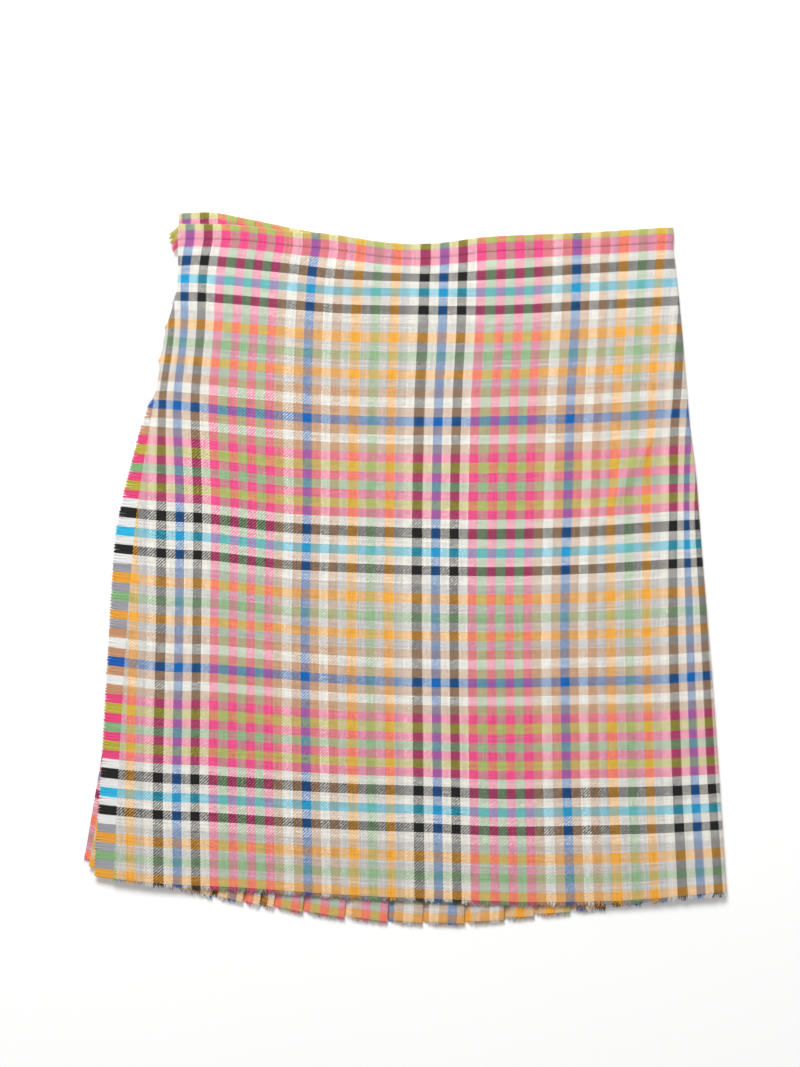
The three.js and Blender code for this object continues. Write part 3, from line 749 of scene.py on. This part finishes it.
THREAD = REPEAT * BAND / THREADS  # from one thread to the next
FRINGE_STEPS = 6
FRINGE_LAYERS = 3
FRINGE_SLANT = 0.107  # towards the waist, as a share of its length
FRINGE_EVEN = 1.01  # length of a thread in the middle of its bundle, as a share of the fringe's
FRINGE_UNEVEN = 0.03
FRINGE_LEAST = 0.4  # millimetres
FRINGE_WAVE = 1.3  # radians of a thread's wave for each millimetre
FRINGE_WAVE_UP = 0.15  # of its wave sideways
FRINGE_CURL = 1.3
FRINGE_DROOP_CURL = 1.6
FRINGE_TAPER = 0.25
FRINGE_LAYER_STEP = 0.2  # how far each layer of threads lies below the last
FRINGE_LAYER_SHORTER = 0.02
FRINGE_ROOT = 1.2  # how far a thread reaches into the cloth
BUNDLES = 3  # that the threads of one band cling together in
BUNDLE_POINTED = 0.09
BUNDLE_GATHER = 0.2
FRINGE_RADIUS = 0.38
LOOSE_RADIUS = 0.2
LOOSE_SLANT = -0.3  # towards the hem
LOOSE_FEWER = 0.3
LOOSE_LONG = (0.3, 1.15)
SLANT_UNEVEN = (0.012, 0.412)  # of a straight thread and of a loose one
WAVE_UNEVEN = (0.08, 0.58)
EDGE_STEPS = 400
FLOOR_CLEAR = 0.35
TUFT_DOWN = 0.0125  # to where the tuft beside the waistband reaches
TUFT_HANG = 0.55  # towards the hem, as a share of its length
TUFT_WEFT = -2.05  # its place in the check, at the seam


def fringe_thread(x, y, weft, long, loose, layer, random):
    """One thread of the fringe, from its root to its tip. It is straight, or waves if it is loose."""
    share = np.linspace(0, 1, FRINGE_STEPS)
    bundle = weft * BUNDLES
    off = bundle - math.floor(bundle) - 0.5
    even = FRINGE_EVEN - BUNDLE_POINTED * abs(off) + random.normal(0, FRINGE_UNEVEN)
    even -= FRINGE_LAYER_SHORTER * layer
    long = max(long * lerp(even, random.uniform(*LOOSE_LONG), loose), FRINGE_LEAST)
    slant = lerp(FRINGE_SLANT, LOOSE_SLANT, loose) + random.normal(0, lerp(*SLANT_UNEVEN, loose))
    gather = off * BAND / BUNDLES * BUNDLE_GATHER
    swing = random.normal(0, lerp(*WAVE_UNEVEN, loose)) * smooth(share * 2)
    wave = swing * np.sin(share * long * FRINGE_WAVE + bundle)
    x = x + FRINGE_ROOT - share * (long + FRINGE_ROOT)
    y = y + slant * long * share**FRINGE_CURL + gather * share**2 + wave
    return x, y, FRINGE_WAVE_UP * wave


def edge_fringe():
    """The weft threads that hang free from the over apron's left-hand edge."""
    random = np.random.default_rng(SEED)
    lines, radii, places = [], [], []
    rows = np.linspace(0, 1, EDGE_STEPS)
    edge_x, edge_y = over_left(rows), over_y(over_left(rows), rows)
    top = edge_y[0] + BAND_TALL - 1
    share = np.linspace(0, 1, FRINGE_STEPS)
    for layer in range(FRINGE_LAYERS):
        for y in np.arange(top - layer * THREAD / FRINGE_LAYERS, edge_y[-1] - HEM_PAST, -THREAD):
            x = float(np.interp(-y, -edge_y, edge_x))
            down = float(np.interp(-y, -edge_y, rows))
            above = (y - edge_y[0]) / BAND_TALL
            if above > 0:
                down = FRINGE["down"][0] * above
                weft = lerp(TUFT_WEFT, BAND_TOP_WEFT, above)
            else:
                weft = float(weft_at(np.array([x]), np.array([y]))[0])
            loose = float(np.clip(fringe_loose(down), 0, 1))
            if random.uniform() < LOOSE_FEWER * loose:
                continue
            long = float(fringe_long(down))
            line_x, line_y, line_z = fringe_thread(x, y, weft, long, loose, layer, random)
            if down < TUFT_DOWN:
                line_y -= TUFT_HANG * long * share
            at = np.array([x]), np.array([min(y, edge_y[0])]), max(down, 0.0)
            root_z = float(over_surface(*at)[0]) - FRINGE_LAYER_STEP * layer + random.normal(0, 0.05)
            line_z += root_z - float(fringe_droop(down)) * share**FRINGE_DROOP_CURL
            lines.append(np.stack([line_x, line_y, np.maximum(line_z, FLOOR_CLEAR)], axis=1))
            thick = lerp(FRINGE_RADIUS, LOOSE_RADIUS, loose) * random.uniform(0.9, 1.1)
            radii.append(thick * (1 - FRINGE_TAPER * share**3))
            places.append((random.uniform(0, 1), weft / REPEAT))
    return strands("apron_edge_fringe", np.array(lines), np.array(radii), np.array(places))


FRAY_STEPS = 4
FRAY_STEP = THREAD * 1.1  # from one thread to the next, at the hems that are less frayed
FRAY_RADIUS = 0.29
FRAY_LEAN = 0.28  # sideways, as a share of its length
FRAY_BEND = 0.3
FRAY_ROOT = 0.9
FRAY_TAPER = 0.4
FRAY_CLEAR = 0.3  # above the floor
HEM_FRAY_LONG = (1.3, 4.3)
UNDER_FRAY_LONG = (0.8, 1.8)
UNDER_FRAY_IN = 0.3
BACK_FRAY_LONG = (1.2, 3.0)


def fray(name, x, y, z, warp, least, most, random, fall=0.25):
    """Short warp threads past a hem, one for each point given."""
    share = np.linspace(0, 1, FRAY_STEPS)
    count = len(x)
    long = lerp(least, most, random.uniform(0, 1, count) ** 1.5)
    tilt = random.normal(0, FRAY_LEAN, count) * long
    bend = random.normal(0, FRAY_BEND, count)
    lines = np.zeros((count, FRAY_STEPS, 3))
    lines[..., 0] = x[:, None] + tilt[:, None] * share**1.2
    lines[..., 0] += bend[:, None] * np.sin(share * math.pi)
    lines[..., 1] = y[:, None] + FRAY_ROOT - share * (long + FRAY_ROOT)[:, None]
    lines[..., 2] = np.maximum(z[:, None] - (fall * long)[:, None] * share**1.5, FRAY_CLEAR)
    radii = FRAY_RADIUS * random.uniform(0.8, 1.15, count)[:, None] * (1 - FRAY_TAPER * share)
    places = np.stack([warp / REPEAT, random.uniform(0, 1, count)], axis=1)
    return strands(name, lines, radii, places)


def front_hem_fray():
    random = np.random.default_rng(SEED + 1)
    left = float(over_left(1.0))
    right = float(over_right(1.0)) - WALL
    x = np.arange(left, right, THREAD / 2)
    y = over_y(x, 1.0) - HEM_PAST
    base, height = over_line(1.0)
    z = np.interp(x, base[: np.argmax(base) + 1], height[: np.argmax(base) + 1])
    flat = x < right - float(swell_run(1.0))
    z[flat] = over_surface(x[flat], y[flat], 1.0)
    z += random.uniform(-0.3, 0.3, len(x))
    return fray("front_hem_fray", x, y, z, warp_at(x, y), *HEM_FRAY_LONG, random)


def under_hem_fray():
    random = np.random.default_rng(SEED + 2)
    left = float(back_left(1.0)) + APRON_PLEAT_SET_IN + UNDER_FRAY_IN
    x = np.arange(left, float(over_right(1.0)) - UNDER_APRON_EDGE, FRAY_STEP)
    y = back_y(under_hem, x, 1.0)
    z = UNDER_APRON_HEIGHT + random.uniform(-0.25, 0.25, len(x))
    warp = UNDER_APRON_WARP + (x - left) / BAND
    return fray("under_apron_hem_fray", x, y, z, warp, *UNDER_FRAY_LONG, random)


def back_hem_fray():
    random = np.random.default_rng(SEED + 3)
    line_x, line_z, droop, warp = back_line(1.0)
    length = arc(line_x, line_z)
    at = np.arange(0, length[-1], FRAY_STEP)
    x = np.interp(at, length, line_x)
    z = np.interp(at, length, line_z)
    y = back_y(back_hem, x, 1.0) - np.interp(at, length, droop) + FRAY_LONG
    place = np.interp(at, length, warp)
    return fray("back_hem_fray", x, y, z, place, *BACK_FRAY_LONG, random, fall=0.05)


STITCH_LONG = 2.0
STITCH_STEP = 3.0
STITCH_RADIUS = 0.12
STITCH_RISE = 0.75  # above the seam
STITCH_STEPS = 6
STITCH_START = 2.0  # from the fringed edge to the first one
STITCH_UNEVEN = 0.08
STITCH_SWAY = 0.04
STITCH_PROUD = 0.05
STITCH_DIP = 0.3  # of its ends, into the cloth


def topstitches():
    """One row of stitches along the lower edge of the front waistband."""
    random = np.random.default_rng(SEED + 4)
    x, y, z = front_band_line()
    top = slice(0, int(np.argmax(x)))
    length = arc(x[top], z[top])
    starts = np.arange(STITCH_START, length[-1] - STITCH_STEP, STITCH_STEP)
    at = starts[:, None] + np.linspace(0, STITCH_LONG, STITCH_STEPS)
    at += random.normal(0, STITCH_UNEVEN, (len(starts), 1))
    sway = random.normal(0, STITCH_SWAY, (len(starts), 1))
    surface = BAND_HALF_GAP + BAND_SHELL / 2 + STITCH_PROUD
    dip = STITCH_DIP * np.abs(np.linspace(-1, 1, STITCH_STEPS)) ** 4
    lines = np.stack([
        np.interp(at, length, x[top]),
        np.interp(at, length, y[top]) + STITCH_RISE + sway,
        np.interp(at, length, z[top]) + surface - dip,
    ], axis=2)
    radii = np.full(lines.shape[:2], STITCH_RADIUS)
    return strands("waist_topstitches", lines, radii, np.zeros((len(lines), 2)), sides=6)


# Materials

def linear(colour, power=1.0):
    """A screen colour of 0 to 255 as light, at a power of it."""

    def channel(value):
        value /= 255
        light = value / 12.92 if value <= 0.04045 else ((value + 0.055) / 1.055) ** 2.4
        return light**power

    return (*(channel(value) for value in colour), 1.0)


class Look:
    """A material and its nodes."""

    def __init__(self, name):
        self.material = bpy.data.materials.new(name)
        self.material.use_nodes = True
        self.tree = self.material.node_tree
        self.shader = self.tree.nodes["Principled BSDF"]

    def add(self, kind, **settings):
        node = self.tree.nodes.new(kind)
        for name, value in settings.items():
            setattr(node, name, value)
        return node

    def join(self, value, socket):
        if hasattr(value, "is_output"):
            self.tree.links.new(value, socket)
        else:
            socket.default_value = value

    def math(self, operation, *values):
        node = self.add("ShaderNodeMath", operation=operation)
        for value, socket in zip(values, node.inputs):
            self.join(value, socket)
        return node.outputs[0]

    def scale(self, colour, factor):
        node = self.add("ShaderNodeVectorMath", operation="SCALE")
        self.join(colour, node.inputs[0])
        self.join(factor, node.inputs["Scale"])
        return node.outputs[0]

    def mix(self, factor, first, second):
        """A mix of two colours, which have the node's sockets 6 and 7."""
        node = self.add("ShaderNodeMix", data_type="RGBA")
        self.join(factor, node.inputs[0])
        self.join(first, node.inputs[6])
        self.join(second, node.inputs[7])
        return node.outputs[2]

    def bands(self, place, colours):
        """The colour of the band at a place in the check."""
        ramp = self.add("ShaderNodeValToRGB")
        ramp.color_ramp.interpolation = "CONSTANT"
        stops = ramp.color_ramp.elements
        while len(stops) > 1:
            stops.remove(stops[-1])
        stops[0].position = 0
        stops[0].color = colours[0]
        for i, colour in enumerate(colours[1:], start=1):
            stops.new(i / len(colours)).color = colour
        self.join(self.math("FRACT", place), ramp.inputs[0])
        return ramp.outputs[0]

    def noise(self, *places, detail=1.0):
        """Soft noise from 0 to 1, over places that are already scaled."""
        vector = self.add("ShaderNodeCombineXYZ")
        for place, socket in zip(places, vector.inputs):
            self.join(place, socket)
        node = self.add("ShaderNodeTexNoise")
        node.inputs["Scale"].default_value = 1.0
        node.inputs["Detail"].default_value = detail
        self.join(vector.outputs[0], node.inputs["Vector"])
        return node.outputs[0]

    def each(self, whole):
        """A random number from 0 to 1 for each whole number."""
        node = self.add("ShaderNodeTexWhiteNoise", noise_dimensions="1D")
        self.join(whole, node.inputs["W"])
        return node.outputs["Value"]

    def places(self):
        uv = self.add("ShaderNodeUVMap", uv_map="cloth")
        split = self.add("ShaderNodeSeparateXYZ")
        self.join(uv.outputs[0], split.inputs[0])
        return split.outputs[0], split.outputs[1]

    def wool(self, roughness, sheen):
        self.shader.inputs["Roughness"].default_value = roughness
        self.shader.inputs["Specular IOR Level"].default_value = 0.25
        self.shader.inputs["Sheen Weight"].default_value = sheen
        self.shader.inputs["Sheen Roughness"].default_value = 0.5

    def bump(self, height, distance, strength):
        node = self.add("ShaderNodeBump")
        node.inputs["Strength"].default_value = strength
        node.inputs["Distance"].default_value = distance
        self.join(height, node.inputs["Height"])
        self.join(node.outputs[0], self.shader.inputs["Normal"])


THREAD_UNEVEN = 0.12  # share of its lightness by which one thread differs from the next
STREAK_UNEVEN = 0.42
STREAK_WIDE = 2.6  # threads
STREAK_LONG = 22.0
SLATE = (172, 171, 178)  # some threads of a grey band
MELANGE = 0.6  # the most of that colour in a thread
MOTTLE = 1.3  # unevenness of the mixture
MOTTLE_WIDE = 2.8  # threads
SLUBS = 4  # in a band
SLUB_HEIGHT = 1.2
TWILL_HEIGHT = 0.5
WEAVE_RELIEF = 0.12
TWILL_CONTRAST = 0.6  # how much more the thread on top shows than the one under it


def yarn_colour(look, along, across, yarns):
    """The colour of the threads of one direction: along runs with a thread, across from one to the
    next, both in repeats of the check."""
    colour = look.bands(across, [linear(YARN_COLOURS[yarn], MIX_POWER) for yarn in yarns])
    greys = [(1, 1, 1, 1) if yarn == "grey" else (0, 0, 0, 1) for yarn in yarns]
    is_grey = look.bands(across, greys)
    pair = look.math("FLOOR", look.math("MULTIPLY", across, THREADS / 2))
    slate = look.math("MULTIPLY", is_grey, look.math("MULTIPLY", look.each(pair), MELANGE))
    colour = look.mix(slate, colour, linear(SLATE, MIX_POWER))
    thread = look.math("FLOOR", look.math("MULTIPLY", across, THREADS))
    uneven = look.each(thread)
    streak = look.noise(
        look.math("MULTIPLY", across, THREADS / STREAK_WIDE),
        look.math("MULTIPLY", along, THREADS / STREAK_LONG),
    )
    tone = look.math("MULTIPLY_ADD", uneven, THREAD_UNEVEN, 1 - THREAD_UNEVEN / 2)
    tone = look.math("ADD", tone, look.math("MULTIPLY_ADD", streak, STREAK_UNEVEN, -STREAK_UNEVEN / 2))
    return look.scale(colour, tone), thread


def woven(name):
    """Twill of two colours of thread, which cross one over the other."""
    look = Look(name)
    u, v = look.places()
    warp, warp_thread = yarn_colour(look, v, u, WARP)
    weft, weft_thread = yarn_colour(look, u, v, WEFT)
    step = look.math("FLOORED_MODULO", look.math("ADD", warp_thread, weft_thread), 4)
    warp_on_top = look.math("LESS_THAN", step, 2)
    factor = look.math("MULTIPLY_ADD", warp_on_top, TWILL_CONTRAST, WARP_SHARE - TWILL_CONTRAST / 2)
    mottle_places = [look.math("MULTIPLY", place, THREADS / MOTTLE_WIDE) for place in (u, v)]
    mottle = look.noise(*mottle_places, detail=2.0)
    factor = look.math("ADD", factor, look.math("MULTIPLY_ADD", mottle, MOTTLE, -MOTTLE / 2))
    mixed = look.add("ShaderNodeGamma")
    mixed.inputs["Gamma"].default_value = 1 / MIX_POWER
    look.join(look.mix(factor, weft, warp), mixed.inputs["Color"])
    look.join(mixed.outputs[0], look.shader.inputs["Base Color"])
    across_warp = look.math("FRACT", look.math("MULTIPLY", u, THREADS))
    across_weft = look.math("FRACT", look.math("MULTIPLY", v, THREADS))
    warp_round = look.math("SINE", look.math("MULTIPLY", across_warp, math.pi))
    weft_round = look.math("SINE", look.math("MULTIPLY", across_weft, math.pi))
    difference = look.math("SUBTRACT", warp_round, weft_round)
    twill = look.math("MULTIPLY_ADD", difference, warp_on_top, weft_round)
    slub_places = [look.math("MULTIPLY", place, REPEAT * SLUBS) for place in (u, v)]
    slub = look.noise(*slub_places, detail=3.0)
    height = look.math("MULTIPLY_ADD", slub, SLUB_HEIGHT, look.math("MULTIPLY", twill, TWILL_HEIGHT))
    look.bump(height, WEAVE_RELIEF * MM, strength=0.6)
    look.wool(roughness=0.88, sheen=0.12)
    return look.material


LOOSE_PAINTED_LIGHT = 1.22  # painted light: loose threads are coloured lighter than their yarns, to undo the shade they lie in
LOOSE_MOST = 0.93
LOOSE_UNEVEN = 0.25
FUZZ = 0.6  # millimetres
FUZZ_RELIEF = 0.1
TWIST = 0.7


def loose(name, yarns, check_is_v):
    """Loose threads: their colour comes from one direction of the check, their tone from the other,
    and all of it is painted lighter to undo the threads' own shade.
    """
    look = Look(name)
    u, v = look.places()
    place, own = (v, u) if check_is_v else (u, v)
    colours = [linear(SLATE if yarn == "grey" else YARN_COLOURS[yarn]) for yarn in yarns]
    # painted light: the tone is raised above 1 to undo the shade that the threads cast on each other
    tone = look.math("MULTIPLY_ADD", own, LOOSE_UNEVEN, LOOSE_PAINTED_LIGHT - LOOSE_UNEVEN / 2)
    limit = look.add("ShaderNodeVectorMath", operation="MINIMUM")
    look.join(look.scale(look.bands(place, colours), tone), limit.inputs[0])
    limit.inputs[1].default_value = (LOOSE_MOST,) * 3
    look.join(limit.outputs[0], look.shader.inputs["Base Color"])
    position = look.add("ShaderNodeTexCoord").outputs["Object"]
    fuzz = look.add("ShaderNodeTexNoise")
    fuzz.inputs["Scale"].default_value = 1 / (FUZZ * MM)
    look.join(position, fuzz.inputs["Vector"])
    look.bump(fuzz.outputs[0], FUZZ_RELIEF * MM, strength=0.5)
    look.wool(roughness=0.9, sheen=0.3)
    return look.material


STITCH_DARK = (120, 28, 56)
STITCH_PALE = (152, 46, 78)


def stitch_thread():
    look = Look("stitch_thread")
    position = look.add("ShaderNodeTexCoord").outputs["Object"]
    twist = look.add("ShaderNodeTexWave")
    twist.inputs["Scale"].default_value = 1 / (TWIST * MM)
    look.join(position, twist.inputs["Vector"])
    colour = look.mix(twist.outputs["Fac"], linear(STITCH_DARK), linear(STITCH_PALE))
    look.join(colour, look.shader.inputs["Base Color"])
    look.wool(roughness=0.6, sheen=0.1)
    return look.material


FLOOR_GLOW = 0.15  # a lit table, white all over
FLOOR_DARK = (0.975, 0.975, 0.97, 1)
FLOOR_PALE = (0.99, 0.99, 0.985, 1)
FLOOR_GRAIN = 3  # to the metre


def pale_floor():
    look = Look("pale_floor")
    position = look.add("ShaderNodeTexCoord").outputs["Object"]
    grain = look.add("ShaderNodeTexNoise")
    grain.inputs["Scale"].default_value = FLOOR_GRAIN
    look.join(position, grain.inputs["Vector"])
    colour = look.mix(grain.outputs[0], FLOOR_DARK, FLOOR_PALE)
    look.join(colour, look.shader.inputs["Base Color"])
    look.shader.inputs["Roughness"].default_value = 0.95
    look.shader.inputs["Emission Color"].default_value = (1, 1, 1, 1)
    look.shader.inputs["Emission Strength"].default_value = FLOOR_GLOW
    return look.material


# The skirt

WOVEN = woven("checked_wool")
WEFT_THREADS = loose("weft_threads", WEFT, True)
WARP_THREADS = loose("warp_threads", WARP, False)
STITCHES = stitch_thread()


def piece(made, material):
    made.data.materials.append(material)
    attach(made, "root")
    return made


over = piece(over_apron(), WOVEN)
under = piece(under_apron(), WOVEN)
back = piece(pleated_back(), WOVEN)
front_band = piece(waistband_front(), WOVEN)
back_band = piece(waistband_back(), WOVEN)
fringe = piece(edge_fringe(), WEFT_THREADS)
hem_fray = piece(front_hem_fray(), WARP_THREADS)
under_fray = piece(under_hem_fray(), WARP_THREADS)
back_fray = piece(back_hem_fray(), WARP_THREADS)
stitches = piece(topstitches(), STITCHES)

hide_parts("over_apron")
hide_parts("under_apron")
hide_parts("pleated_back")
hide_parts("waistband_front")
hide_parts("waistband_back")
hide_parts("fringe_apron_edge")
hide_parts("fringe_front_hem")

# Floor, light and camera

FLOOR_SIZE = 12.0  # metres
FLOOR_BELOW = 0.2
PHOTO_CENTRE = (-4.2, 27.0)  # the middle of the photo, in the skirt's sizes
PHOTO_TALL = 811.0
CLOTH_HEIGHT = 7.0
LENS = 100.0
SENSOR = 36.0
KEY_POWER = 97.0
KEY_SIZE = 1.2  # metres, as its place
KEY_PLACE = (-0.5, 2.1, 2.3)
WORLD_STRENGTH = 0.29


def stage_floor():
    bpy.ops.mesh.primitive_plane_add(size=FLOOR_SIZE, location=(0, 0, -FLOOR_BELOW * MM))
    floor = bpy.context.object
    floor.name = "floor"
    floor.data.materials.append(pale_floor())


def studio():
    world = bpy.data.worlds.new("studio")
    world.use_nodes = True
    background = world.node_tree.nodes["Background"]
    background.inputs["Color"].default_value = (1, 1, 1, 1)
    background.inputs["Strength"].default_value = WORLD_STRENGTH
    bpy.context.scene.world = world
    data = bpy.data.lights.new("key", "AREA")
    data.shape = "SQUARE"
    data.size = KEY_SIZE
    data.energy = KEY_POWER
    key = bpy.data.objects.new("key", data)
    key.location = KEY_PLACE
    key.rotation_mode = "QUATERNION"
    key.rotation_quaternion = (-Vector(KEY_PLACE)).to_track_quat("-Z", "Y")
    bpy.context.scene.collection.objects.link(key)


def photo_camera():
    data = bpy.data.cameras.new("photo_camera")
    data.lens = LENS
    data.sensor_width = SENSOR
    camera = bpy.data.objects.new("photo_camera", data)
    distance = PHOTO_TALL * LENS / SENSOR + CLOTH_HEIGHT
    x, y = PHOTO_CENTRE
    camera.location = Vector((x + ORIGIN_X, y + ORIGIN_Y, distance)) * MM
    bpy.context.scene.collection.objects.link(camera)
    bpy.context.scene.camera = camera


stage_floor()
studio()
photo_camera()
bpy.context.scene.view_settings.view_transform = "Standard"
